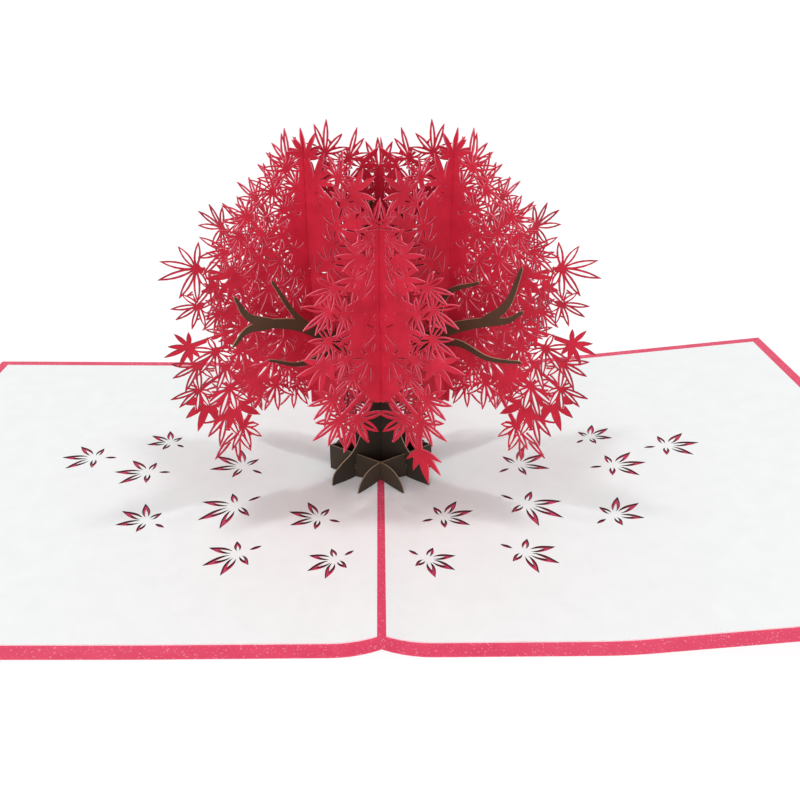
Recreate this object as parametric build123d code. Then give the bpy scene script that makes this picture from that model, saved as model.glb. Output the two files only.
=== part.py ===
"""Pop-up card: an open folded card with a red maple tree of slotted paper sheets standing on its spine.

Millimetres, +Z up, spine along Y, pages to -X and +X, table at Z = 0, front of the card at -Y.
"""
import math
import os

from build123d import *

# Card: a square card of one sheet, creased at the spine, with a white panel glued on each half
PAGE = 150.0
COVER_T = 0.40
PANEL_T = 0.40
BORDER = 3.8
SPINE_STRIP = 2.1
RIDGE_HALF = 12.0
RIDGE_HIGH = 2.6
FLAT_END = 50.0
BEND = 12.0
LIFT_LEFT = 1.0
LIFT_RIGHT = 10.0

# Tree: paper gauge, slots and the angle that the sheets make with the X axis
SHEET_T = 0.40
SLOT_W = 0.90
SLOT_GAP = 0.20
GLUE_GAP = 0.05
LATTICE_DEG = 33.0
LEAF_NODE_X = 18.9
ROOT_NODE_X = 15.3

# Leaf sheets: dome of leaves, given by its middle and its half sizes to the leaf hubs
DOME_SHIFT = 2.5
DOME_MID = 58.0
DOME_WIDE = 35.0
DOME_UP = 36.5
FRONT_UP = 28.0
DOME_DOWN = 34.5
ARCH_OUT = 19.0
ARCH_IN = 8.0
ARCH_DOWN = 27.0
SEAM_HALF = 7.5
SEAM_DOWN = 17.0
LEAF_LENGTH = 9.4
LOBE_DEG = 37.0
STEM_W = 2.0
CORE_RATIO = 0.68
RIB_W = 3.4
RIB_DOWN = 24.0
WALL_DOWN = 33.0
FLAP_UP = 22.0
CREST_UP = 31.0
PEAK_U = 6.0
PEAK_UP = 37.5
PEAK_STEP = 7.0
PEAK_FALL = 2.0
HANG_IN = 5.5
HANG_DOWN = 36.0
CLUSTER_IN = 7.3
CLUSTER_DOWN = 29.7
FRONT_HANG_IN = 2.1
FRONT_HANG_DOWN = 38.3
FRONT_HOLD_DOWN = 23.0
SHOULDER_IN = 1.0
SHOULDER_UP = 14.0
MIN_HOLE = 2.65
WALL_UP = 8.0
FLAP_DOWN = 4.0

# Trunk sheets and root collars
TRUNK_LOCK = 20.0
FOOT_U = 17.6
COLLAR_HIGH = 9.4
COLLAR_FOOT = 8.2
COLLAR_LOCK = 4.2
COLLAR_WINDOW = 1.6

ANGLE = math.radians(LATTICE_DEG)
COS_A = math.cos(ANGLE)
SIN_A = math.sin(ANGLE)
LEAF_STEP = LEAF_NODE_X / (2 * COS_A)
ROOT_STEP = ROOT_NODE_X / (2 * COS_A)
PANEL_TOP = COVER_T + PANEL_T
WALL_JOIN = DOME_MID + WALL_UP
FLAP_JOIN = DOME_MID - FLAP_DOWN
TRUNK_JOIN = DOME_MID - 1.15 * LEAF_STEP
OPEN_TOP = 2 * (DOME_MID + DOME_UP)


def page_point(side, reach, lift):
    """Point of the card's section: reach along the underside from the spine, lift above the underside."""
    ridge_r = (RIDGE_HALF ** 2 + RIDGE_HIGH ** 2) / (2 * RIDGE_HIGH)
    rise = LIFT_LEFT if side < 0 else LIFT_RIGHT
    tilt = rise / (PAGE - FLAT_END - BEND / 2)
    bend_r = BEND / tilt
    if reach < RIDGE_HALF:
        drop = math.sqrt((ridge_r - lift) ** 2 - (RIDGE_HALF - reach) ** 2)
        return side * reach, ridge_r - drop
    if reach <= FLAT_END:
        return side * reach, lift
    turn = min((reach - FLAT_END) / bend_r, tilt)
    rest = max(reach - FLAT_END - BEND, 0.0)
    x = FLAT_END + (bend_r - lift) * math.sin(turn) + rest * math.cos(turn)
    return side * x, bend_r - (bend_r - lift) * math.cos(turn) + rest * math.sin(turn)


def page_line(side, start, end, lift):
    """Edges of the card's section at one height, from the spine side outwards."""
    inner = (start, (start + RIDGE_HALF) / 2, RIDGE_HALF)
    outer = (FLAT_END, FLAT_END + BEND / 2, FLAT_END + BEND, end)
    near, ridge, knee = [page_point(side, stop, lift) for stop in inner]
    flat, bend, rise, far = [page_point(side, stop, lift) for stop in outer]
    arcs = [ThreePointArc(near, ridge, knee), ThreePointArc(flat, bend, rise)]
    return arcs + [Line(knee, flat), Line(rise, far)]


def section_face(edges):
    """Closed section in the XZ plane from edges drawn as x, z."""
    return make_face(edges).face()


def half_card(side, start, end, low, high):
    """One half of a card layer between two heights, as a face in x, z."""
    edges = page_line(side, start, end, low) + page_line(side, start, end, high)
    edges.append(Line(page_point(side, start, low), page_point(side, start, high)))
    edges.append(Line(page_point(side, end, low), page_point(side, end, high)))
    return section_face(edges)


def along_spine(face, length):
    """Sweep a section along the spine, centred on the middle of the card."""
    return extrude(Plane.XZ * face, amount=length / 2, both=True)


def card_cover():
    """Folded cover: both halves join at the crease."""
    halves = half_card(-1, 0.0, PAGE, 0.0, COVER_T) + half_card(1, 0.0, PAGE, 0.0, COVER_T)
    return along_spine(halves, PAGE)


def leaf_slot(size, turn):
    """One cut-out of a page leaf: a slim kite from near the hub to a pointed tip."""
    wide, middle = 0.10 * size + 0.35, 0.52 * size
    kite = Polygon((0.28 * size, 0), (middle, -wide), (size, 0), (middle, wide), align=None)
    return Rot(0, 0, turn) * kite


def page_leaf(x, y, size, axis):
    """Cut-outs of one page leaf: five lobes round an uncut hub."""
    lobes = ((-104, 0.52), (-44, 0.88), (0, 1.0), (40, 0.92), (98, 0.56))
    return [Pos(x, y) * leaf_slot(size * part, axis + turn) for turn, part in lobes]


def page_panel(side):
    """White panel of one page, its cut-outs mirrored from page to page."""
    leaves = ((91, 6, 10.5, 0), (72, -2, 10.5, 0), (69, 15, 8.5, 30), (43, 1, 11.5, 32), (42, -19, 12.0, -34))
    leaves += ((66, -26, 9.5, 28), (38, -40, 10.0, -28), (17.5, -25, 9.5, 18), (12, -42.5, 8.5, -32))
    reach = PAGE - BORDER
    panel = along_spine(half_card(side, SPINE_STRIP / 2, reach, COVER_T, PANEL_TOP), PAGE - 2 * BORDER)
    cuts = []
    for x, y, size, axis in leaves:
        cuts += page_leaf(side * x, y, size, axis if side > 0 else 180 - axis)
    tall = LIFT_LEFT + LIFT_RIGHT + PANEL_TOP
    return panel - [extrude(cut, amount=tall) for cut in cuts]


def under_card():
    """All that lies below the pages and the glue under the tree's feet."""
    lift = PANEL_TOP + GLUE_GAP
    blocks = []
    for side in (-1, 1):
        edges = page_line(side, 0.0, PAGE, lift)
        corner = page_point(side, PAGE, lift)
        edges.append(Polyline(corner, (corner[0], -1), (0, -1), page_point(side, 0.0, lift)))
        blocks.append(section_face(edges))
    return along_spine(blocks[0] + blocks[1], PAGE)


def stand(face, x, y, dir_x, dir_y):
    """Stand a flat sheet up: its first axis runs along the direction, its second axis points up."""
    plane = Plane(origin=(x, y, 0), x_dir=(dir_x, dir_y, 0), z_dir=(dir_y, -dir_x, 0))
    return extrude(plane * face, amount=SHEET_T / 2, both=True)


def slot(u, low, high):
    """Upright slot in a sheet."""
    return Pos(u, (low + high) / 2) * Rectangle(SLOT_W, high - low)


def spread(index, step):
    """Even pseudo-random spread between 0 and 1 for a leaf number."""
    return (index * step) % 1.0


def maple_leaf(u, z, length, axis, pairs=3):
    """Maple leaf outline: pointed lobes in pairs beside a middle one, with a notch between neighbours."""
    points = [(180, 0.16)]
    for place in range(-pairs, pairs + 1):
        if place > -pairs:
            points.append((LOBE_DEG * (place - 0.5), 0.36))
        points.append((LOBE_DEG * place, 1.0 - 0.047 * place * place))
    around = [(math.radians(axis + turn), part * length) for turn, part in points]
    return Pos(u, z) * Polygon(*[(r * math.cos(a), r * math.sin(a)) for a, r in around], align=None)


def dome_radius(turn, inner_up):
    """Distance from the dome's middle to its ring of leaf hubs: a superellipse, fuller below than above.

    inner_up is its height over the inner flap, which it nears as it leaves the top.
    """
    across, along = math.cos(turn), math.sin(turn)
    power, tall = 3.6, DOME_DOWN
    if along >= 0 and across > 0:
        power, tall = 1.5, inner_up + (DOME_UP - inner_up) * along ** 8
    elif along >= 0:
        power, tall = 1.2, DOME_UP
    return ((abs(across) / DOME_WIDE) ** power + (abs(along) / tall) ** power) ** (-1 / power)


def leaf_hubs(inner_up):
    """Hub, length, axis and lobe pairs of each leaf, in rings round the dome; axes point out and droop."""
    hubs = []
    index = 0
    for part, count, pairs in ((1.0, 23, 3), (0.76, 14, 2)):
        for place in range(count):
            index += 1
            turn = 2 * math.pi * (place + 0.5 + 0.5 * (spread(index, 0.618) - 0.5)) / count
            reach = part * dome_radius(turn, inner_up)
            u, z = DOME_SHIFT + reach * math.cos(turn), DOME_MID + reach * math.sin(turn)
            length = LEAF_LENGTH * (0.88 + 0.26 * spread(index, 0.755))
            axis = math.degrees(math.atan2(math.sin(turn) - 0.6, math.cos(turn)))
            axis += 50 * (spread(index, 0.569) - 0.5)
            arch = -ARCH_OUT < u < ARCH_IN and z < DOME_MID - ARCH_DOWN
            seam = abs(u - 2 * LEAF_STEP) < SEAM_HALF and z < DOME_MID - SEAM_DOWN
            if not arch and not seam:
                hubs.append((u, z, length, axis, pairs))
    return hubs


def dome_core(inner_up):
    """Solid middle of the leaf field, where the leaves lie close."""
    turns = [2 * math.pi * place / 24 for place in range(24)]
    around = [(CORE_RATIO * dome_radius(turn, inner_up), turn) for turn in turns]
    points = [(r * math.cos(turn), r * math.sin(turn)) for r, turn in around]
    return Pos(DOME_SHIFT, DOME_MID) * Polygon(*points, align=None)


def leaf_stem(u, z, root_u=DOME_SHIFT, root_z=DOME_MID):
    """Stem of a leaf: a thin wedge from its hub towards a root, well into the core."""
    reach = math.hypot(u - root_u, z - root_z)
    across = STEM_W / 2 * (root_z - z) / reach, STEM_W / 2 * (u - root_u) / reach
    tip = root_u + CORE_RATIO / 2 * (u - root_u), root_z + CORE_RATIO / 2 * (z - root_z)
    return Polygon((u - across[0], z - across[1]), (u + across[0], z + across[1]), tip, align=None)


def leaf_field(leaves, stems, flap_top, inner_up):
    """Whole field before its slots: leaves, stems, core and the upright ribs at the slots, as one face."""
    hubs = leaf_hubs(inner_up)
    shapes = [maple_leaf(*hub) for hub in hubs + leaves]
    shapes += [leaf_stem(*stem) for stem in [hub[:2] for hub in hubs] + stems]
    ends = [(0.0, DOME_MID - WALL_DOWN, DOME_MID + DOME_UP)]
    ends.append((LEAF_STEP, DOME_MID - RIB_DOWN, DOME_MID + FLAP_UP))
    ends.append((2 * LEAF_STEP, DOME_MID - SEAM_DOWN, flap_top))
    ribs = [Pos(u, (low + high) / 2) * Rectangle(RIB_W, high - low) for u, low, high in ends]
    field = Sketch() + shapes + ribs + dome_core(inner_up)
    face = max(field.faces(), key=lambda one: one.area)
    holes = [wire for wire in face.inner_wires() if Face(wire).area > MIN_HOLE ** 2]
    return Face(face.outer_wire(), holes)


def leaf_sheet(side, dir_y, slots_from_top):
    """One leaf sheet: its own wall slot, trunk slot and flap slot, all open to the same side."""
    outer, inner = DOME_SHIFT - DOME_WIDE, DOME_SHIFT + DOME_WIDE
    hang = outer + HANG_IN, DOME_MID - HANG_DOWN
    shoulder = outer + SHOULDER_IN, DOME_MID + SHOULDER_UP
    leaves = [(*hang, LEAF_LENGTH, -100.0), (*shoulder, LEAF_LENGTH, 188.0)]
    stems = [hang, shoulder]
    if dir_y > 0:
        flap_top, inner_up = DOME_MID + CREST_UP, DOME_UP
        leaves.append((2 * LEAF_STEP, flap_top, LEAF_LENGTH, 90.0))
        for place in (0, 1):
            peak = PEAK_U + place * PEAK_STEP, DOME_MID + PEAK_UP - place * PEAK_FALL
            leaves.append((*peak, 0.85 * LEAF_LENGTH, 80.0))
            stems.append(peak)
    else:
        flap_top, inner_up = DOME_MID + FLAP_UP, FRONT_UP
        cluster = inner - CLUSTER_IN, DOME_MID - CLUSTER_DOWN
        leaves.append((*cluster, 1.1 * LEAF_LENGTH, -105.0))
        leaves.append((2 * LEAF_STEP, DOME_MID - SEAM_DOWN, LEAF_LENGTH, -90.0, 2))
        stems.append(cluster)
    if dir_y < 0 and side < 0:
        hang = inner - FRONT_HANG_IN, DOME_MID - FRONT_HANG_DOWN
        leaves.append((*hang, 1.1 * LEAF_LENGTH, -72.0))
        stems.append((*hang, inner - FRONT_HANG_IN, DOME_MID - FRONT_HOLD_DOWN))
    joins = ((0.0, WALL_JOIN), (LEAF_STEP, TRUNK_JOIN), (2 * LEAF_STEP, FLAP_JOIN))
    if slots_from_top:
        cuts = [slot(u, join - SLOT_GAP / 2, OPEN_TOP) for u, join in joins]
    else:
        cuts = [slot(u, 0.0, join + SLOT_GAP / 2) for u, join in joins]
    field = leaf_field(leaves, stems, flap_top, inner_up)
    face = max((Sketch() + field - cuts).faces(), key=lambda one: one.area)
    return stand(face, side * LEAF_NODE_X, 0.0, -side * COS_A, dir_y)


def limb(points, start, end):
    """Branch that tapers along a curve: points and widths in lattice steps from the dome's middle."""
    line = Spline(*[(LEAF_STEP * u, DOME_MID + LEAF_STEP * z) for u, z in points])
    left, right = [], []
    steps = 3
    for number in range(steps + 1):
        part = number / steps
        half = LEAF_STEP * (start + (end - start) * part) / 2
        at, way = line @ part, line % part
        left.append((at.X - way.Y * half, at.Y + way.X * half))
        right.append((at.X + way.Y * half, at.Y - way.X * half))
    return Polygon(*left, *reversed(right), align=None)


def trunk_outline():
    """Brown sheet: flared feet, trunk, and branches that differ to the left and the right."""
    parts = ((1.0, 0.0), (0.94, 0.2), (0.77, 0.38), (0.59, 0.57), (0.43, 0.8), (0.35, 1.08), (0.3, 1.65))
    feet = [(FOOT_U * u, FOOT_U * z) for u, z in parts]
    neck = 0.27 * LEAF_STEP, DOME_MID - 1.42 * LEAF_STEP
    half = feet + [neck]
    body = Polygon(*half, *[(-u, z) for u, z in reversed(half)], align=None)
    limbs = [limb([(-0.13, -2.31), (-1.0, -1.15), (-2.13, -0.3), (-3.21, 0.04)], 0.48, 0.2)]
    limbs.append(limb([(-2.96, -0.04), (-3.48, 0.27), (-3.73, 0.75)], 0.27, 0.09))
    limbs.append(limb([(-2.96, -0.04), (-3.51, -0.05), (-3.87, -0.34)], 0.25, 0.09))
    limbs.append(limb([(-1.82, -0.5), (-2.33, 0.05), (-2.82, 0.92)], 0.2, 0.09))
    limbs.append(limb([(-1.2, -1.06), (-2.22, -1.24), (-3.04, -0.93)], 0.18, 0.08))
    limbs.append(limb([(0.13, -2.31), (1.0, -1.15), (1.96, -0.43), (3.09, 0.06)], 0.48, 0.2))
    limbs.append(limb([(2.84, -0.05), (3.35, 0.51), (3.61, 1.36)], 0.27, 0.09))
    limbs.append(limb([(2.84, -0.05), (3.39, 0.12), (3.71, 0.39)], 0.21, 0.09))
    limbs.append(limb([(1.2, -1.06), (2.13, -0.73), (2.99, -0.92), (3.78, -0.82)], 0.23, 0.08))
    limbs.append(limb([(1.51, -0.75), (1.82, 0.4), (2.61, 0.85)], 0.21, 0.09))
    limbs.append(limb([(-0.16, -1.77), (-0.47, 0.4), (-0.43, 1.6), (-0.23, 2.36)], 0.39, 0.11))
    limbs.append(limb([(0.16, -1.77), (0.45, 0.3), (0.68, 2.28)], 0.39, 0.11))
    limbs.append(limb([(0.0, -1.77), (0.04, 0.1), (0.0, 1.6)], 0.37, 0.27))
    return body + limbs


def trunk_sheet(outline, ground, dir_y, locked_from_top):
    """One trunk sheet, notched for the leaf sheets, the root collars and the other trunk sheet."""
    cuts = [slot(u, 0.0, COLLAR_LOCK + COLLAR_WINDOW) for u in (-ROOT_STEP, ROOT_STEP)]
    if locked_from_top:
        cuts.append(slot(0.0, TRUNK_LOCK - SLOT_GAP / 2, OPEN_TOP))
        low, high = TRUNK_JOIN - SLOT_GAP / 2, TRUNK_JOIN + LEAF_STEP / 2
    else:
        cuts.append(slot(0.0, 0.0, TRUNK_LOCK + SLOT_GAP / 2))
        low, high = TRUNK_JOIN - LEAF_STEP / 2, TRUNK_JOIN + SLOT_GAP / 2
    cuts += [slot(u, low, high) for u in (-LEAF_STEP, LEAF_STEP)]
    return stand(outline - cuts, 0.0, 0.0, COS_A, dir_y) - ground


def collar_leg(locked_from_top):
    """Front leg of a root collar from the fold to its foot, in sheet coordinates from the fold."""
    node = 2 * ROOT_STEP
    foot = EllipticalCenterArc((node, 0.0), COLLAR_FOOT, COLLAR_HIGH, 0, arc_size=90)
    rest = Polyline((node, COLLAR_HIGH), (-SHEET_T, COLLAR_HIGH), (-SHEET_T, 0.0), (node + COLLAR_FOOT, 0.0))
    cuts = [slot(ROOT_STEP, COLLAR_LOCK, 2 * COLLAR_HIGH)]
    if locked_from_top:
        cuts.append(slot(node, COLLAR_LOCK - SLOT_GAP / 2, 2 * COLLAR_HIGH))
    else:
        cuts.append(slot(node, 0.0, COLLAR_LOCK + SLOT_GAP / 2))
    return make_face([foot, rest]) - cuts


def root_collar(side, ground):
    """Low strip folded into a V at its page, its two legs reaching forward and back round the trunk."""
    leg = stand(collar_leg(side > 0), side * ROOT_NODE_X, 0.0, -side * COS_A, -SIN_A)
    front = leg & Pos(0, -PAGE / 2, 0) * Box(PAGE, PAGE, PAGE)
    return front + mirror(front, about=Plane.XZ) - ground


os.makedirs("parts", exist_ok=True)
ground = under_card()
outline = trunk_outline()
nodes = {
    "card_cover": card_cover(),
    "left_page": page_panel(-1),
    "right_page": page_panel(1),
    "trunk_sheet_a": trunk_sheet(outline, ground, -SIN_A, False),
    "trunk_sheet_b": trunk_sheet(outline, ground, SIN_A, True),
    "left_root_collar": root_collar(-1, ground),
    "right_root_collar": root_collar(1, ground),
    "leaf_sheet_front_left": leaf_sheet(-1, -SIN_A, False),
    "leaf_sheet_front_right": leaf_sheet(1, -SIN_A, True),
    "leaf_sheet_back_left": leaf_sheet(-1, SIN_A, True),
    "leaf_sheet_back_right": leaf_sheet(1, SIN_A, False),
}
for name, solid in nodes.items():
    solid.label = name
    export_step(solid, os.path.join("parts", name + ".step"))
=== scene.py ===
import math

import bpy
import numpy as np
from mathutils.geometry import delaunay_2d_cdt
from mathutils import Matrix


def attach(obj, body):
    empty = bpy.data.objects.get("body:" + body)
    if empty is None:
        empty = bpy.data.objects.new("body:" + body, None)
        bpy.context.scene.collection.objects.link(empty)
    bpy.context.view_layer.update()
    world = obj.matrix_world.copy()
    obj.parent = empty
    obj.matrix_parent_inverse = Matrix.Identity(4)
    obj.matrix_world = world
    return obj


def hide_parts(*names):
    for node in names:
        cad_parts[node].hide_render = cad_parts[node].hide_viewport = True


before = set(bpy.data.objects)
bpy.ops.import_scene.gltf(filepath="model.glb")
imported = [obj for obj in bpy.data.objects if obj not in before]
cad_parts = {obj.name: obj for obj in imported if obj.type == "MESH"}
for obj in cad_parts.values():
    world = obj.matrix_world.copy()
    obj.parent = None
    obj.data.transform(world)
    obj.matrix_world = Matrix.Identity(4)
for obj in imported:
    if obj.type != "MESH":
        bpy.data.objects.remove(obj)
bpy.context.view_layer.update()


# Cover: one sheet of satin red card with a faint pearl shimmer, pressed flat and creased once at the spine.
# It lies on the table, and its rim stands out as a narrow red border round the white pages.
# Sizes are in mm, and noise counts are lumps to the metre.
PAGE, COVER_T = 150.0, 0.40
UNDER_SPINE, UNDER_RIM = 1.4, 4.5
MOTTLE_COUNT, MOTTLE_SHARE, FIBRE_SHARE = 170.0, 1.6, 0.9
FIBRE_BUMP, FIBRE_DEPTH, FIBRE_ROUGH = 0.12, 0.08, 0.25
# Pale flecks of painted glint on the cover: their count, threshold, share of colour and drop in roughness.
GLINT_FLECK_COUNT, GLINT_FLECK_FROM, GLINT_FLECK_SHARE, GLINT_FLECK_SHINE = 1900.0, 0.66, 0.55, 0.18


class Socket:
    """One shader socket. Arithmetic on it adds Math nodes, and node() adds any other node to its tree."""

    def __init__(self, tree, output):
        self.tree = tree
        self.output = output

    @classmethod
    def node(cls, tree, kind, settings=None, inputs=None, output=0):
        made = tree.nodes.new(kind)
        for key, value in (settings or {}).items():
            setattr(made, key, value)
        for key, value in (inputs or {}).items():
            if isinstance(value, cls):
                tree.links.new(value.output, made.inputs[key])
            else:
                made.inputs[key].default_value = value
        return cls(tree, made.outputs[output])

    def maths(self, operation, first, second):
        return Socket.node(self.tree, "ShaderNodeMath", {"operation": operation}, {0: first, 1: second})

    def __add__(self, other):
        return self.maths("ADD", self, other)

    __radd__ = __add__

    def __mul__(self, other):
        return self.maths("MULTIPLY", self, other)

    __rmul__ = __mul__

    def __sub__(self, other):
        return self.maths("SUBTRACT", self, other)

    def __rsub__(self, other):
        return self.maths("SUBTRACT", other, self)

    def __gt__(self, other):
        return self.maths("GREATER_THAN", self, other)

    def __lt__(self, other):
        return self.maths("LESS_THAN", self, other)

    def __abs__(self):
        return self.maths("ABSOLUTE", self, 0.0)


def red_green_blue(red, green, blue):
    """Linear colour from screen values of 0 to 255: the sRGB curve undone."""
    part = np.array([red, green, blue]) / 255
    linear = np.where(part <= 0.04045, part / 12.92, ((part + 0.055) / 1.055) ** 2.4)
    return (*linear.tolist(), 1.0)


def noise(tree, count, detail):
    """Soft noise around a half on the piece's own coordinates, with count lumps to the metre."""
    place = Socket.node(tree, "ShaderNodeTexCoord", output="Object")
    return Socket.node(tree, "ShaderNodeTexNoise", inputs={"Vector": place, "Scale": count, "Detail": detail})


def along_axis(tree, axis, kind="Object"):
    """One axis of the piece's own coordinates, in metres, or of its normal."""
    place = Socket.node(tree, "ShaderNodeTexCoord", output=kind)
    return Socket.node(tree, "ShaderNodeSeparateXYZ", inputs={0: place}, output=axis)


def blend_colour(tree, share, first, second):
    """Colour between two: the first at a share of 0 or less, the second at 1 or more."""
    return Socket.node(tree, "ShaderNodeMix", {"data_type": "RGBA", "clamp_factor": True},
                       {"Factor": share, "A": first, "B": second}, output="Result")


def paper_finish(name, light, dark, grain, rough, gloss=0.3, tone=None, glint_fleck=None):
    """Paper: two close colours mottled by soft noise, a fine fibre bump, and, if given, pale flecks of
    painted glint.

    The mottle is noise about 6 mm wide; the grain is noise of the given count per metre; the painted glint
    shows as pale flecks where a finer noise is over its threshold, and there the roughness drops too. tone, a
    function of the tree and the colour, can change the colour.
    """
    made = bpy.data.materials.new(name)
    made.use_nodes = True
    tree = made.node_tree
    shader = tree.nodes["Principled BSDF"]
    shader.inputs["Specular IOR Level"].default_value = gloss
    mottle = noise(tree, MOTTLE_COUNT, 3.0)
    fibre = noise(tree, grain, 4.0)
    share = (mottle - 0.5) * MOTTLE_SHARE + (fibre - 0.5) * FIBRE_SHARE + 0.5
    colour = blend_colour(tree, share, dark, light)
    roughness = rough + (fibre - 0.5) * FIBRE_ROUGH
    # Painted glint: pale flecks blended into the colour, where the roughness also drops for a real shine.
    if glint_fleck:
        glint_fleck_mask = noise(tree, GLINT_FLECK_COUNT, 1.0) > GLINT_FLECK_FROM
        colour = blend_colour(tree, glint_fleck_mask * GLINT_FLECK_SHARE, colour, glint_fleck)
        roughness = roughness - glint_fleck_mask * GLINT_FLECK_SHINE
    if tone:
        colour = tone(tree, colour)
    bump = Socket.node(tree, "ShaderNodeBump",
                       inputs={"Height": fibre, "Strength": FIBRE_BUMP, "Distance": FIBRE_DEPTH / 1000})
    tree.links.new(colour.output, shader.inputs["Base Color"])
    tree.links.new(roughness.output, shader.inputs["Roughness"])
    tree.links.new(bump.output, shader.inputs["Normal"])
    return made


def painted_shade_under_pages(tree, colour):
    """Painted shade: deeper crimson under the pages, where the cover lies in the shade of their cuts and
    shows only through them.

    It reaches from UNDER_SPINE off the spine to UNDER_RIM off the rim, just inside the edges of the pages.
    """
    across = abs(along_axis(tree, "X"))
    along = abs(along_axis(tree, "Y"))
    under = (across > UNDER_SPINE / 1000) * (across < (PAGE - UNDER_RIM) / 1000)
    under = under * (along < (PAGE / 2 - UNDER_RIM) / 1000)
    return blend_colour(tree, under, colour, red_green_blue(204, 58, 98))


def dress(name, finish):
    """Give a node of the frame, which is shown as it is, its one material."""
    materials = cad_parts[name].data.materials
    materials.clear()
    materials.append(finish)


# The cover's colour has painted shade under the pages, and pale flecks of painted glint.
shimmer_red = paper_finish("shimmer_red_card", red_green_blue(231, 76, 109), red_green_blue(219, 61, 96),
                           grain=2600.0, rough=0.46, tone=painted_shade_under_pages, glint_fleck=red_green_blue(246, 170, 188))
dress("card_cover", shimmer_red)


# Pages: two white card panels glued inside the cover, one on each side of the spine, leaving a thin red strip
# there. Small maple leaves are cut through them by laser, which leaves dark burnt walls round each opening
# and a white tongue of paper in each lobe.
PANEL_TOP, BORDER, SPINE_STRIP = 0.80, 3.8, 2.1
RIDGE_HALF, RIDGE_HIGH, RIDGE_FOLDS = 12.0, 2.6, 12
FLAT_END, BEND, BEND_FOLDS = 50.0, 12.0, 7
LIFT = {-1: 1.0, 1: 10.0}
WALL_RUN = 0.2
LOBE_FROM, LOBE_HALF, LOBE_WIDEN = 0.16, 0.62, 0.06
TONGUE_FROM, TONGUE_TO, TONGUE_SHARE = 0.04, 0.64, 0.4
STALK_FROM, STALK_TO, STALK_HALF = 0.30, 0.66, 0.55
SMOOTH_BELOW = math.radians(35)
EDGE_MARGIN, SAME_POINT, TINY = 0.01, 1e-5, 1e-6


def page_section(across, lift):
    """True x and height of the card at a reach from the spine, lift above its underside, in mm.

    The section is an arc up to the crease, a flat strip, an arc of BEND and a straight rise to the edge.
    """
    side = np.sign(across)
    reach = np.abs(across)
    ridge_r = (RIDGE_HALF ** 2 + RIDGE_HIGH ** 2) / (2 * RIDGE_HIGH)
    tilt = np.where(side < 0, LIFT[-1], LIFT[1]) / (PAGE - FLAT_END - BEND / 2)
    bend_r = BEND / tilt
    turn = np.clip((reach - FLAT_END) / bend_r, 0, tilt)
    rest = np.maximum(reach - FLAT_END - BEND, 0)
    x = np.where(reach <= FLAT_END, reach, FLAT_END + (bend_r - lift) * np.sin(turn) + rest * np.cos(turn))
    risen = bend_r - (bend_r - lift) * np.cos(turn) + rest * np.sin(turn)
    inside = np.maximum(RIDGE_HALF - reach, 0)
    ridge = ridge_r - np.sqrt((ridge_r - lift) ** 2 - inside ** 2)
    return side * x, np.where(reach < RIDGE_HALF, ridge, risen)


def cut_paper(layers, creases=()):
    """Flat cut sheet from outlines laid down in order: its points, triangles and rim edges, in mm.

    Each layer is an outline and whether it is paper. The plane is split along every outline and crease; the
    last layer over a triangle decides if paper stays there; the largest joined piece is the sheet. Rim edges
    are those that one triangle alone has, with the paper on their left.
    """
    outlines = [np.asarray(outline, float) for outline, _ in layers]
    ends = np.cumsum([0] + [len(outline) for outline in outlines])
    loops = [list(range(low, high)) for low, high in zip(ends[:-1], ends[1:])]
    lines = np.asarray(creases, float).reshape(-1, 2)
    folds = [(ends[-1] + place, ends[-1] + place + 1) for place in range(0, len(lines), 2)]
    spots = np.concatenate(outlines + [lines]).tolist()
    points, _, found, _, _, owners = delaunay_2d_cdt(spots, folds, loops, 0, SAME_POINT)
    paper = [bool(owner) and layers[max(owner)][1] for owner in owners]
    triangles = np.array(found, int)[np.array(paper)]
    points = np.array([tuple(point) for point in points])
    group = np.arange(len(points))
    while True:
        lowest = group[triangles].min(axis=1)
        joined = group.copy()
        np.minimum.at(joined, triangles.ravel(), np.repeat(lowest, 3))
        joined = joined[joined]
        if (joined == group).all():
            break
        group = joined
    names, counts = np.unique(group[triangles[:, 0]], return_counts=True)
    triangles = triangles[group[triangles[:, 0]] == names[counts.argmax()]]
    used, triangles = np.unique(triangles, return_inverse=True)
    points = points[used]
    triangles = triangles.reshape(-1, 3)
    edges = np.concatenate([triangles[:, [0, 1]], triangles[:, [1, 2]], triangles[:, [2, 0]]])
    key = edges @ (len(points), 1)
    back = edges @ (1, len(points))
    return points, triangles, edges[~np.isin(key, back)]


def paper_piece(name, triangles, rim, front, back, finishes, rim_finish):
    """Sheet with its thickness: the flat triangles in front, reversed behind, and a wall on each rim edge."""
    count = len(front)
    walls = np.column_stack((rim[:, 0], rim[:, 0] + count, rim[:, 1] + count, rim[:, 1]))
    faces = triangles.tolist() + (triangles[:, ::-1] + count).tolist() + walls.tolist()
    mesh = bpy.data.meshes.new(name)
    mesh.from_pydata((np.concatenate((front, back)) / 1000).tolist(), [], faces)
    for finish in finishes:
        mesh.materials.append(finish)
    flat = np.zeros(2 * len(triangles), int)
    finish_of = np.concatenate((flat, np.broadcast_to(rim_finish, len(rim))))
    mesh.polygons.foreach_set("material_index", finish_of)
    mesh.polygons.foreach_set("use_smooth", np.ones(len(faces), bool))
    mesh.set_sharp_from_angle(angle=SMOOTH_BELOW)
    piece = bpy.data.objects.new(name, mesh)
    bpy.context.scene.collection.objects.link(piece)
    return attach(piece, "root")


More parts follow.
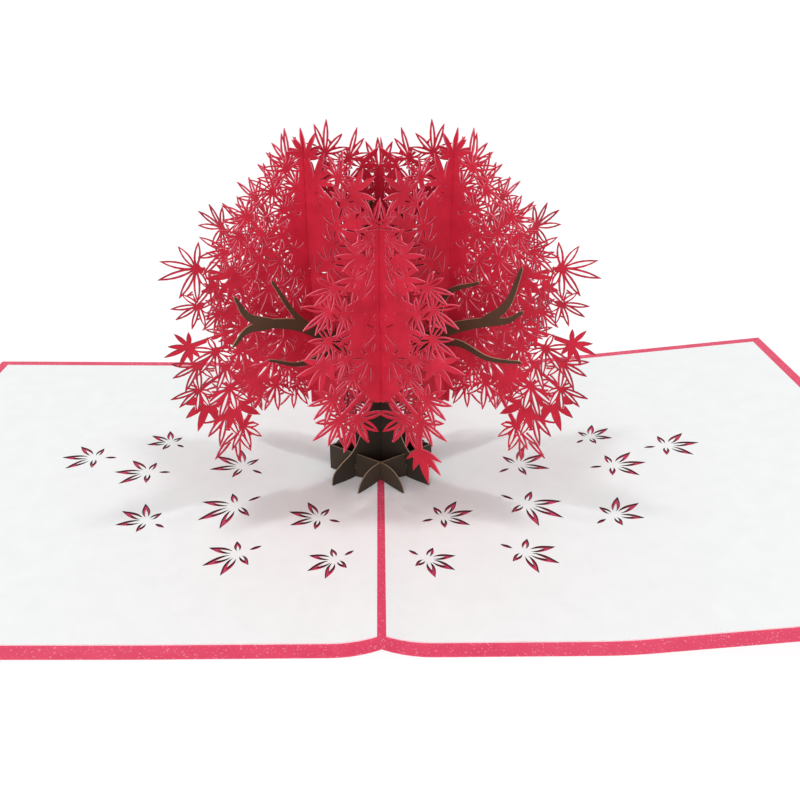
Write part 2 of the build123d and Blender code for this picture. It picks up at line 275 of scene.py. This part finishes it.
def lens(hub, turn, start, end, half, lean=1.0, steps=4, full=1.0):
    """Pointed oval on a ray from a hub, from start to end, with t from 0 to 1 along it.

    Its half width is half * sin(pi * t ** lean) ** full.
    """
    t = np.linspace(0, 1, steps + 2)
    along = start + (end - start) * t
    across = half * np.maximum(np.sin(np.pi * t ** lean), 0) ** full
    across[[0, -1]] = 0
    way = np.array([math.cos(math.radians(turn)), math.sin(math.radians(turn))])
    left = np.outer(along, way) + np.outer(across, (-way[1], way[0]))
    right = np.outer(along, way) - np.outer(across, (-way[1], way[0]))
    return np.asarray(hub) + np.concatenate((right, left[-2:0:-1]))


def oblong(low_u, low_v, high_u, high_v):
    """Rectangle as an outline."""
    return np.array([(low_u, low_v), (high_u, low_v), (high_u, high_v), (low_u, high_v)])


def leaf_cut(hub, size, facing):
    """Layers of a maple leaf cut in a page: five lobes, each a hole with a tongue of paper, and a stalk."""
    made = []
    for turn, share in ((-104, 0.52), (-44, 0.88), (0, 1.0), (40, 0.92), (98, 0.56)):
        way = facing + turn
        long = size * share
        wide = LOBE_WIDEN * long + LOBE_HALF
        tongue = TONGUE_SHARE * wide
        made.append((lens(hub, way, LOBE_FROM * long, long, wide, lean=0.8, steps=12), False))
        made.append((lens(hub, way, TONGUE_FROM * long, TONGUE_TO * long, tongue, lean=0.9, steps=8), True))
    made.append((lens(hub, facing + 180, STALK_FROM * size, STALK_TO * size, STALK_HALF, steps=8), False))
    return made


def wall_slope(points, rim, opening):
    """Shift of each point from the top to the underside: WALL_RUN into its opening, and nothing elsewhere."""
    way = points[rim[:, 1]] - points[rim[:, 0]]
    away = np.column_stack((way[:, 1], -way[:, 0])) / np.linalg.norm(way, axis=1)[:, None] * opening[:, None]
    slope = np.zeros_like(points)
    np.add.at(slope, rim.ravel(), np.repeat(away, 2, axis=0))
    return slope * (WALL_RUN / np.maximum(np.linalg.norm(slope, axis=1), TINY)[:, None])


# Reach from the spine, y, size and axis of each leaf.
page_leaves = ((91, 6, 10.5, 0), (72, -2, 10.5, 0), (69, 15, 8.5, 30),
               (43, 1, 11.5, 32), (42, -19, 12.0, -34), (66, -26, 9.5, 28),
               (38, -40, 10.0, -28), (17.5, -25, 9.5, 18), (12, -42.5, 8.5, -32))
white_card = paper_finish("white_page_card", red_green_blue(246, 249, 249), red_green_blue(241, 244, 244),
                          grain=2200.0, rough=0.72)
burnt_wall = paper_finish("burnt_cut_wall", red_green_blue(74, 44, 40), red_green_blue(34, 22, 22),
                          grain=1500.0, rough=0.85)
inner, outer, half = SPINE_STRIP / 2, PAGE - BORDER, PAGE / 2 - BORDER
for side, name in ((-1, "left_page"), (1, "right_page")):
    left, right = sorted((side * inner, side * outer))
    layers = [(oblong(left, -half, right, half), True)]
    for reach, y, size, axis in page_leaves:
        layers += leaf_cut((side * reach, y), size, axis if side > 0 else 180 - axis)
    stops = np.concatenate((np.linspace(inner, RIDGE_HALF, RIDGE_FOLDS)[1:],
                            np.linspace(FLAT_END, FLAT_END + BEND, BEND_FOLDS)))
    creases = [(side * stop, end) for stop in stops for end in (-half - 1, half + 1)]
    points, triangles, rim = cut_paper(layers, creases)
    middle = points[rim].mean(axis=1)
    far = np.abs(np.abs(middle[:, 0]) - (inner + outer) / 2)
    opening = (np.abs(middle[:, 1]) < half - EDGE_MARGIN) & (far < (outer - inner) / 2 - EDGE_MARGIN)
    low = points + wall_slope(points, rim, opening)
    top_x, top_z = page_section(points[:, 0], PANEL_TOP)
    low_x, low_z = page_section(low[:, 0], COVER_T)
    front = np.column_stack((top_x, points[:, 1], top_z))
    back = np.column_stack((low_x, low[:, 1], low_z))
    page = paper_piece(name + "_cut", triangles, rim, front, back, (white_card, burnt_wall),
                       np.where(opening, 1, 0))
    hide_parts(name)


# Trunk: two upright sheets of dark brown paper that cross on the spine, each cut by laser with flared roots,
# a trunk and branches. They slot into each other and into the leaf sheets, and their cut edges are lighter.
SHEET_T, SLOT_W, SLOT_GAP, GLUE_GAP = 0.40, 0.90, 0.20, 0.05
LATTICE = math.radians(33)
LEAF_NODE, ROOT_NODE = 18.9, 15.3
LEAF_STEP = LEAF_NODE / (2 * math.cos(LATTICE))
ROOT_STEP = ROOT_NODE / (2 * math.cos(LATTICE))
TRUNK_LOCK, TRUNK_JOIN, JOIN_SLOT, COLLAR_TOP = 20.0, 45.0, 5.6, 5.8
TRUNK_HALF, TRUNK_TOP = 3.0, 42.0
FOOT_CUT, GROUND_STEPS, BELOW, ABOVE = 20.0, 81, -5.0, 200.0
TIP_SHARE = 0.9
SHADE_FROM, SHADE_RISE = 20.0, 33.0


def smooth_line(points, steps=10):
    """Catmull-Rom curve through points: a cubic from each to the next, with slopes from their neighbours."""
    known = np.asarray(points, float)
    known = np.concatenate(([2 * known[0] - known[1]], known, [2 * known[-1] - known[-2]]))
    t = np.linspace(0, 1, steps, endpoint=False)[:, None, None]
    a, b, c, d = known[:-3], known[1:-2], known[2:-1], known[3:]
    square = 2 * a - 5 * b + 4 * c - d
    cube = 3 * b - a - 3 * c + d
    curve = 0.5 * (2 * b + (c - a) * t + square * t ** 2 + cube * t ** 3)
    return np.concatenate((curve.swapaxes(0, 1).reshape(-1, 2), known[-2:-1]))


def branch(points, start, end):
    """Branch outline: a smooth line with a width that falls evenly from start to end, and a pointed tip."""
    line = smooth_line(points)
    way = np.gradient(line, axis=0)
    way /= np.linalg.norm(way, axis=1)[:, None]
    half_width = np.linspace(start, end, len(line))[:, None] / 2
    aside = np.column_stack((-way[:, 1], way[:, 0])) * half_width
    tip = line[-1:] + way[-1:] * end * TIP_SHARE
    return np.concatenate((line - aside, tip, (line + aside)[::-1]))


def slot(place, join, from_top, low, high, wide=SLOT_W):
    """Layer of a half-lap slot in an upright sheet: from the join up to high, or from low up to the join."""
    ends = (join - SLOT_GAP / 2, high) if from_top else (low, join + SLOT_GAP / 2)
    return oblong(place - wide / 2, ends[0], place + wide / 2, ends[1]), False


def upright(points, node_x, dir_x, dir_y, bow):
    """Front and back, in mm, of a flat sheet stood up at (node_x, 0) along a direction and bowed sideways."""
    aside = np.array([dir_y, -dir_x, 0.0])
    middle = np.column_stack((node_x + dir_x * points[:, 0], dir_y * points[:, 0], points[:, 1]))
    middle = middle + np.outer(bow, aside)
    return middle + aside * SHEET_T / 2, middle - aside * SHEET_T / 2


def shade_tone(tree, colour):
    """Painted shade low on the trunk: dark brown alone up to SHADE_FROM, then the paper's own colour, more by
    SHADE_RISE a metre.
    """
    risen = (along_axis(tree, "Z") - SHADE_FROM / 1000) * SHADE_RISE
    return blend_colour(tree, risen, red_green_blue(46, 37, 29), colour)


root_line = [(17.6, 0.0), (16.9, 4.4), (14.2, 7.2), (10.5, 9.9), (8.0, 13.4), (6.2, 19.0), (5.2, 29.0)]
roots = smooth_line(root_line, steps=5)
trunk = np.concatenate((roots, [(TRUNK_HALF, TRUNK_TOP), (-TRUNK_HALF, TRUNK_TOP)], roots[::-1] * (-1, 1)))
# Middle line of each branch, and its width at the start and the end.
branches = (
    ([(-1.5, 32), (-11.3, 45), (-24, 54.6), (-36.2, 58.5)], 5.4, 2.2),
    ([(-33.4, 57.6), (-39.2, 61), (-42, 66.4)], 3.0, 0.8),
    ([(-33.4, 57.6), (-39.6, 57.4), (-43.6, 54.2)], 2.8, 0.8),
    ([(-20.5, 52.4), (-26.3, 58.6), (-31.8, 68.4)], 2.2, 0.8),
    ([(-13.5, 46), (-25, 44), (-34.3, 47.5)], 2.0, 0.7),
    ([(1.5, 32), (11.3, 45), (22.1, 53.2), (34.8, 58.7)], 5.4, 2.2),
    ([(32.0, 57.4), (37.8, 63.8), (40.7, 73.3)], 3.0, 0.8),
    ([(32.0, 57.4), (38.2, 59.4), (41.8, 62.4)], 2.4, 0.8),
    ([(13.5, 46), (24, 49.8), (33.7, 47.6), (42.6, 48.8)], 2.6, 0.7),
    ([(17.0, 49.5), (20.5, 62.5), (29.4, 67.6)], 2.4, 0.8),
    ([(-1.8, 38), (-5.3, 62.5), (-4.8, 76), (-2.6, 84.6)], 4.4, 1.2),
    ([(1.8, 38), (5.1, 61.4), (7.7, 83.7)], 4.4, 1.2),
    ([(0, 38), (0.5, 59), (0, 76)], 4.2, 3.0),
)
# The brown paper's colour holds painted shade low on the trunk.
brown_paper = paper_finish("dark_brown_paper", red_green_blue(78, 49, 29), red_green_blue(58, 37, 23),
                           grain=2400.0, rough=0.62, tone=shade_tone)
tan_edge = paper_finish("tan_cut_edge", red_green_blue(178, 152, 120), red_green_blue(150, 124, 96),
                        grain=1800.0, rough=0.8)
for name, toward, from_top in (("trunk_sheet_a", -1, False), ("trunk_sheet_b", 1, True)):
    layers = [(trunk, True)] + [(branch(*limb), True) for limb in branches]
    along = np.linspace(-FOOT_CUT, FOOT_CUT, GROUND_STEPS)
    _, ground = page_section(along * math.cos(LATTICE), PANEL_TOP + GLUE_GAP)
    under = [(-FOOT_CUT, BELOW), (FOOT_CUT, BELOW)]
    layers.append((np.concatenate((under, np.column_stack((along, ground))[::-1])), False))
    for place in (-ROOT_STEP, ROOT_STEP):
        layers.append((oblong(place - SLOT_W / 2, BELOW, place + SLOT_W / 2, COLLAR_TOP), False))
    layers.append(slot(0.0, TRUNK_LOCK, from_top, BELOW, ABOVE))
    for place in (-LEAF_STEP, LEAF_STEP):
        layers.append(slot(place, TRUNK_JOIN, from_top, TRUNK_JOIN - JOIN_SLOT, TRUNK_JOIN + JOIN_SLOT))
    points, triangles, rim = cut_paper(layers)
    bow = np.zeros(len(points))
    front, back = upright(points, 0.0, math.cos(LATTICE), toward * math.sin(LATTICE), bow)
    sheet = paper_piece(name + "_cut", triangles, rim, front, back, (brown_paper, tan_edge), 1)
    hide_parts(name)


# Root collars: two low strips of the same brown paper, each folded once at its page and glued there. Their
# legs cross in front of and behind the trunk and end in curved root feet, with a light cut edge on top.
EDGE_NORMAL = 0.7


def edge_tone(tree, colour):
    """Tan on the cut edges: there the normal leans away from both legs, so that its y part is small."""
    facing = abs(along_axis(tree, "Y", kind="Normal"))
    return blend_colour(tree, facing < EDGE_NORMAL, colour, red_green_blue(140, 120, 100))


# Painted shade: the collars are coloured darker than the trunk's brown paper, as it looks low by the pages.
collar_paper = paper_finish("root_collar_paper", red_green_blue(62, 48, 36), red_green_blue(46, 36, 27),
                            grain=2400.0, rough=0.62, tone=edge_tone)
for name in ("left_root_collar", "right_root_collar"):
    dress(name, collar_paper)


# Leaf sheets: four upright sheets of satin red paper, each laser-cut into a dome of joined maple leaves with
# a slit in most lobes. They slot into each other and onto the trunk sheets; the cut walls are a lighter pink.
# Along a sheet, u runs inwards from its wall slot, and leaf widths are shares of the leaf's length.

# The dome: its middle, reaches, powers of its outline, and the solid core as a share of it.
DOME_SHIFT, DOME_MID, DOME_WIDE = 2.5, 58.0, 35.0
DOME_UP, FRONT_UP, DOME_DOWN = 36.5, 28.0, 34.5
FULL_LOW, FULL_INNER, FULL_OUTER, TOP_HOLD = 3.6, 1.5, 1.2, 8
OUTER, INNER, SEAM = DOME_SHIFT - DOME_WIDE, DOME_SHIFT + DOME_WIDE, 2 * LEAF_STEP
CORE, CORE_STEPS = 0.84, 48
# One leaf: its length, lobes, hub, and where the cuts round and in a lobe start and end.
LEAF_LENGTH, LENGTH_LEAST, LENGTH_VARY, LOW_LONGER = 7.3, 0.86, 0.3, 1.8
LOBE_TURN, LOBE_SWAY, LOBE_SHORTEN, LOBE_VARY = 36.0, 6.0, 0.04, 0.09
HUB, HUB_STEPS = 0.14, 8
MOAT_FROM, MOAT_TO, SLIT_FROM, SLIT_TO = 0.3, 0.95, 0.11, 0.9
# The field of leaves: how places and axes vary, its zones, and the widths and shares of cuts in them.
AXIS_DROOP, AXIS_VARY, TURN_VARY, REACH_VARY = 0.6, 50, 0.6, 0.08
EDGE_RING, LOW_DOWN, FLAP_FROM, FLAP_UPPER = 0.8, 20.0, 1.0, 10.0
EDGE_LOBE, PLAIN_LOBE = 0.1, 0.112
FLAP_SLIT, LOW_SLIT, PLAIN_SLIT = 0.034, 0.052, 0.046
FLAP_UNSLIT, REST_UNSLIT = 0.35, 0.12
LOW_MOAT, PLAIN_MOAT = 0.15, 0.12
FLAP_MOATS, REST_MOATS = 0.2, 0.5
ARCH_OUT, ARCH_IN, ARCH_DOWN = -19.0, 8.0, 27.0
SEAM_HALF, SEAM_DOWN = 7.5, 17.0
# Ribs, slots and stems, and the wave of the outer flaps.
WALL_JOIN, FLAP_JOIN = 66.0, 54.0
RIB_HALF, WALL_DOWN, RIB_DOWN, FRONT_FLAP_UP, BACK_FLAP_UP = 1.7, 33.0, 24.0, 22.0, 31.0
SLIT_W, OPEN_UP = 0.2, 8.0
STEM_HALF, STEM_FROM = 0.7, 0.35
WAVE, WAVE_IN, WAVE_TALL, WAVE_LONG = 0.7, 15.0, 9.0, 13.0
DARK_FROM, DARK_RISE = 36.0, 62.0
SPREAD = {"turn": 0.618, "reach": 0.437, "length": 0.755, "axis": 0.569, "slit": 0.381, "moat": 0.271}


def spread(index, use):
    """Even spread between 0 and 1 over the leaf numbers, with a step of its own for each use."""
    return (index * SPREAD[use]) % 1.0


def dome_radius(turn, inner_up):
    """Distance from the dome's middle to its edge: a superellipse, fuller below than above.

    Over the inner flap its height nears inner_up as it leaves the top.
    """
    across = np.cos(turn)
    along = np.sin(turn)
    flap_up = inner_up + (DOME_UP - inner_up) * along ** TOP_HOLD
    power = np.where(along < 0, FULL_LOW, np.where(across > 0, FULL_INNER, FULL_OUTER))
    tall = np.where(along < 0, DOME_DOWN, np.where(across > 0, flap_up, DOME_UP))
    return ((np.abs(across) / DOME_WIDE) ** power + (np.abs(along) / tall) ** power) ** (-1 / power)


def ring_points(mid_u, mid_z, radius, steps):
    """Closed outline round a middle: radius, one for all or one for each step, at even turns."""
    turns = np.linspace(0, 2 * np.pi, steps + 1)[:-1]
    return np.column_stack((mid_u + radius * np.cos(turns), mid_z + radius * np.sin(turns)))


def leaf_layers(u, z, length, axis, lobe, slit, moat):
    """One maple leaf: seven pointed lobes on a round hub, each parted from what lies under it by a cut.

    lobe, slit and moat are the half widths of a lobe, of the slit in it and of the cut round it. Turns and
    reaches vary by sines of the lobe's number and the hub's place, so that leaves differ.
    """
    number = np.arange(-3, 4)
    turns = axis + LOBE_TURN * number + LOBE_SWAY * np.sin(1.9 * number ** 2 + u + 2 * z)
    vary = 1 + LOBE_VARY * np.sin(2.3 * number + 3 * u + z)
    rays = list(zip(turns, length * (1 - LOBE_SHORTEN * number ** 2) * vary))

    def ovals(start, end, half_width, paper, **form):
        return [(lens((u, z), turn, start * length, end * far, half_width * length, **form), paper)
                for turn, far in rays]

    made = ovals(MOAT_FROM, MOAT_TO, moat, False, steps=3) if moat > 0 else []
    made += ovals(0.0, 1.0, lobe, True, lean=0.95, full=0.9)
    made.append((ring_points(u, z, HUB * length, HUB_STEPS), True))
    if slit > 0:
        made += ovals(SLIT_FROM, SLIT_TO, slit, False, steps=3, full=0.7)
    return made


def leaf_field(inner_up):
    """Hub, length, axis, lobe, slit and moat of each leaf: rings round the dome, axes outward and drooping.

    The arch over the trunk and the inner seam's foot stay clear. Leaves low on the sheet are longer, with
    wider cuts round them; those on the inner flap have fewer and narrower cuts.
    """
    found = []
    index = 0
    for ring, count in ((1.06, 30), (0.89, 27), (0.72, 22), (0.55, 17), (0.38, 12), (0.21, 7)):
        for place in range(count):
            index += 1
            turn = 2 * math.pi * (place + 0.5 + TURN_VARY * (spread(index, "turn") - 0.5)) / count
            reach = (ring + REACH_VARY * (spread(index, "reach") - 0.5)) * dome_radius(turn, inner_up)
            u = DOME_SHIFT + reach * math.cos(turn)
            z = DOME_MID + reach * math.sin(turn)
            arch = ARCH_OUT < u < ARCH_IN and z < DOME_MID - ARCH_DOWN
            seam_foot = abs(u - SEAM) < SEAM_HALF and z < DOME_MID - SEAM_DOWN
            if arch or seam_foot:
                continue
            low = z < DOME_MID - LOW_DOWN
            edge = ring > EDGE_RING
            flap = u > FLAP_FROM
            inside = flap and (not edge or z > DOME_MID + FLAP_UPPER)
            length = LEAF_LENGTH * (LENGTH_LEAST + LENGTH_VARY * spread(index, "length"))
            length += LOW_LONGER if low else 0.0
            axis = math.degrees(math.atan2(math.sin(turn) - AXIS_DROOP, math.cos(turn)))
            axis += AXIS_VARY * (spread(index, "axis") - 0.5)
            lobe = EDGE_LOBE if edge and not low else PLAIN_LOBE
            slit = LOW_SLIT if low else PLAIN_SLIT
            if spread(index, "slit") < (FLAP_UNSLIT if inside else REST_UNSLIT):
                slit = 0.0
            elif flap and (low or inside):
                slit = FLAP_SLIT
            moat = 0.0
            if low and not flap:
                moat = LOW_MOAT
            elif edge or spread(index, "moat") < (FLAP_MOATS if inside else REST_MOATS):
                moat = PLAIN_MOAT
            found.append((u, z, length, axis, lobe, slit, moat))
    return found


def stem(u, z, root_u=DOME_SHIFT, root_z=DOME_MID):
    """Thin wedge from a leaf's hub towards a root, well into the core."""
    away = np.array([u - root_u, z - root_z])
    aside = STEM_HALF * np.array([-away[1], away[0]]) / np.linalg.norm(away)
    return np.array([(root_u, root_z) + STEM_FROM * away, (u, z) - aside, (u, z) + aside])


def outer_tone(tree, colour):
    """Dark crimson on the outer cut walls, from DARK_FROM off the spine on, more by DARK_RISE a metre."""
    reach = (abs(along_axis(tree, "X")) - DARK_FROM / 1000) * DARK_RISE
    return blend_colour(tree, reach, colour, red_green_blue(104, 20, 46))


# Leaves that are set one by one: hub, length, axis, lobe, slit and moat.
hanging_leaf = (OUTER + 7.0, DOME_MID - 35.0, 10.0, -100.0, 0.095, 0.042, 0.13)
hanging_root = (OUTER + 8.0, DOME_MID - 12.0)
shoulder_leaf = (OUTER + 1.0, DOME_MID + 14.0, 9.6, 188.0, 0.092, 0.048, 0.13)
back_leaves = [(OUTER + 0.3, DOME_MID - 22.8, 9.0, -120.0, 0.13, 0.0, 0.14),
               (OUTER + 7.2, DOME_MID - 26.5, 9.0, -80.0, 0.13, 0.0, 0.14),
               (SEAM, DOME_MID + BACK_FLAP_UP, 9.2, 90.0, 0.115, 0.05, 0.0),
               (6.0, DOME_MID + 37.5, 8.0, 80.0, 0.1, 0.042, 0.13),
               (13.0, DOME_MID + 35.5, 7.6, 75.0, 0.1, 0.042, 0.13)]
front_leaves = [(INNER - 7.3, DOME_MID - 29.7, 10.2, -105.0, 0.115, 0.034, 0.14),
                (SEAM, DOME_MID - SEAM_DOWN, 9.4, -90.0, 0.12, 0.0, 0.0)]
# The single leaf by the trunk, on the front left sheet alone: its hub, stalk and lobes by turn and reach.
trunk_leaf, trunk_leaf_root = (INNER - 2.1, DOME_MID - 38.3), (INNER - 2.1, DOME_MID - 23.0)
trunk_leaf_lobes = ((-134, 6.3), (-105, 8.0), (-75, 11.0), (-44, 9.3), (-15, 7.2))
TRUNK_LEAF_WIDE, TRUNK_LEAF_BACK, TRUNK_STALK_HALF, TRUNK_STALK_DOWN = 0.125, -0.6, 0.5, 24.0
red_paper = paper_finish("leaf_red_paper", red_green_blue(212, 38, 63), red_green_blue(173, 24, 45),
                         grain=2200.0, rough=0.5, gloss=0.2)
pink_edge = paper_finish("pink_cut_edge", red_green_blue(242, 128, 150), red_green_blue(222, 100, 124),
                         grain=1600.0, rough=0.7, tone=outer_tone)
# Name, side of the spine, way that it runs in y, whether it is slotted from the top, and phase of its wave.
for name, side, toward, from_top, phase in (("leaf_sheet_front_left", -1, -1, False, 0.4),
                                            ("leaf_sheet_front_right", 1, -1, True, 2.1),
                                            ("leaf_sheet_back_left", -1, 1, True, 3.7),
                                            ("leaf_sheet_back_right", 1, 1, False, 5.2)):
    at_front = toward < 0
    by_trunk = at_front and side < 0
    inner_up = FRONT_UP if at_front else DOME_UP
    flap_top = DOME_MID + (FRONT_FLAP_UP if at_front else BACK_FLAP_UP)
    field = leaf_field(inner_up)
    single = [shoulder_leaf] + (front_leaves if at_front else back_leaves)
    stems = [leaf[:2] for leaf in field + single] + [hanging_leaf[:2] + hanging_root]
    if by_trunk:
        stems.append(trunk_leaf + trunk_leaf_root)
    turns = np.linspace(0, 2 * np.pi, CORE_STEPS + 1)[:-1]
    core = ring_points(DOME_SHIFT, DOME_MID, CORE * dome_radius(turns, inner_up), CORE_STEPS)
    layers = [(core, True)] + [(stem(*place), True) for place in stems]
    for leaf in sorted(field + [hanging_leaf] + single, key=lambda one: one[1]):
        layers += leaf_layers(*leaf)
    if by_trunk:
        for turn, far in trunk_leaf_lobes:
            lobe = lens(trunk_leaf, turn, TRUNK_LEAF_BACK, far, TRUNK_LEAF_WIDE * far, lean=0.85, steps=6)
            layers.append((lobe, True))
        u, z = trunk_leaf
        stalk = oblong(u - TRUNK_STALK_HALF, z, u + TRUNK_STALK_HALF, DOME_MID - TRUNK_STALK_DOWN)
        layers.append((stalk, True))
    top = DOME_MID + DOME_UP
    for place, low, high in ((0.0, DOME_MID - WALL_DOWN, top), (LEAF_STEP, DOME_MID - RIB_DOWN, DOME_MID),
                             (SEAM, DOME_MID - SEAM_DOWN, flap_top)):
        layers.append((oblong(place - RIB_HALF, low, place + RIB_HALF, high), True))
    for place, join in ((0.0, WALL_JOIN), (LEAF_STEP, TRUNK_JOIN), (SEAM, FLAP_JOIN)):
        high = 2 * top
        if from_top and place == LEAF_STEP:
            layers.append(slot(place, join, from_top, 0.0, high, SLIT_W))
            high = join + OPEN_UP
        layers.append(slot(place, join, from_top, 0.0, high))
    points, triangles, rim = cut_paper(layers)
    beyond = np.maximum(np.maximum(-points[:, 0], points[:, 0] - SEAM), 0)
    ripple = np.sin(points[:, 1] / WAVE_TALL + points[:, 0] / WAVE_LONG + phase)
    bow = WAVE * np.clip(beyond / WAVE_IN, 0, 1) ** 2 * ripple
    dir_x, dir_y = -side * math.cos(LATTICE), toward * math.sin(LATTICE)
    front, back = upright(points, side * LEAF_NODE, dir_x, dir_y, bow)
    sheet = paper_piece(name + "_cut", triangles, rim, front, back, (red_paper, pink_edge), 1)
    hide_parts(name)


# Set: a plain pale table under the card, a soft white room, two small lamps high at the tree's sides that
# throw its shadow on the pages, a broad lamp in front, and the camera at the reader's place, looking down
# along the spine. Sizes are in metres.
TABLE_HALF, TABLE_Z = 12, -0.0004
TABLE_GLOW, TABLE_GLOW_SHARE, ROOM_LIGHT = 1.1, 0.85, 0.61
SIDE_AIM, FRONT_AIM = (0, 0, 0.04), (0, 0, 0.05)
CAMERA_DOWN, CAMERA_YAW = 29.3, -0.6


def seen_rays(tree):
    """1 on rays that show the surface, straight, mirrored or through glass, and 0 on those that light."""
    return sum(Socket.node(tree, "ShaderNodeLightPath", output=ray)
               for ray in ("Is Camera Ray", "Is Glossy Ray", "Is Transmission Ray"))


def lamp(name, place, target, size, watts):
    """Square soft lamp at a place, turned towards a target."""
    data = bpy.data.lights.new(name, "AREA")
    data.energy = watts
    data.size = size
    made = bpy.data.objects.new(name, data)
    made.location = place
    aim = np.subtract(target, place)
    tilt = math.acos(-aim[2] / np.linalg.norm(aim))
    made.rotation_euler = (tilt, 0, math.atan2(aim[1], aim[0]) - math.pi / 2)
    bpy.context.scene.collection.objects.link(made)


floor_mesh = bpy.data.meshes.new("table_top")
corners = [(x * TABLE_HALF, y * TABLE_HALF, TABLE_Z) for x, y in ((-1, -1), (1, -1), (1, 1), (-1, 1))]
floor_mesh.from_pydata(corners, [], [(0, 1, 2, 3)])
table_top = bpy.data.objects.new("table_top", floor_mesh)
bpy.context.scene.collection.objects.link(table_top)
table_white = bpy.data.materials.new("table_white")
table_white.use_nodes = True
tree = table_white.node_tree
table_shader = tree.nodes["Principled BSDF"]
table_shader.inputs["Base Color"].default_value = (0.88, 0.88, 0.88, 1)
table_shader.inputs["Roughness"].default_value = 0.9
glow = Socket.node(tree, "ShaderNodeEmission", inputs={"Color": (1, 1, 1, 1), "Strength": TABLE_GLOW})
table_mix = Socket.node(tree, "ShaderNodeMixShader", inputs={0: seen_rays(tree) * TABLE_GLOW_SHARE,
                                                             1: Socket(tree, table_shader.outputs[0]),
                                                             2: glow})
tree.links.new(table_mix.output, tree.nodes["Material Output"].inputs["Surface"])
floor_mesh.materials.append(table_white)

room = bpy.data.worlds.new("white_room")
bpy.context.scene.world = room
room.use_nodes = True
tree = room.node_tree
strength = ROOM_LIGHT + seen_rays(tree) * (1 - ROOM_LIGHT)
tree.links.new(strength.output, tree.nodes["Background"].inputs["Strength"])
tree.nodes["Background"].inputs["Color"].default_value = (1, 1, 1, 1)

lamp("left_back_lamp", (-0.42, 0.08, 1.1), SIDE_AIM, size=0.1, watts=2.2)
lamp("right_back_lamp", (0.42, 0.08, 1.1), SIDE_AIM, size=0.1, watts=2.2)
lamp("front_lamp", (-0.2, -1.45, 0.5), FRONT_AIM, size=0.7, watts=8.6)

reader_view = bpy.data.cameras.new("reader")
reader_view.lens = 34.02
reader_view.sensor_width = 36.0
reader_view.shift_x = 0.0158
reader_view.clip_start = 0.01
reader = bpy.data.objects.new("reader", reader_view)
reader.location = (0.0, -0.196, 0.135)
reader.rotation_euler = (math.radians(90 - CAMERA_DOWN), 0, math.radians(CAMERA_YAW))
bpy.context.scene.collection.objects.link(reader)
bpy.context.scene.camera = reader
bpy.context.scene.view_settings.view_transform = "Standard"
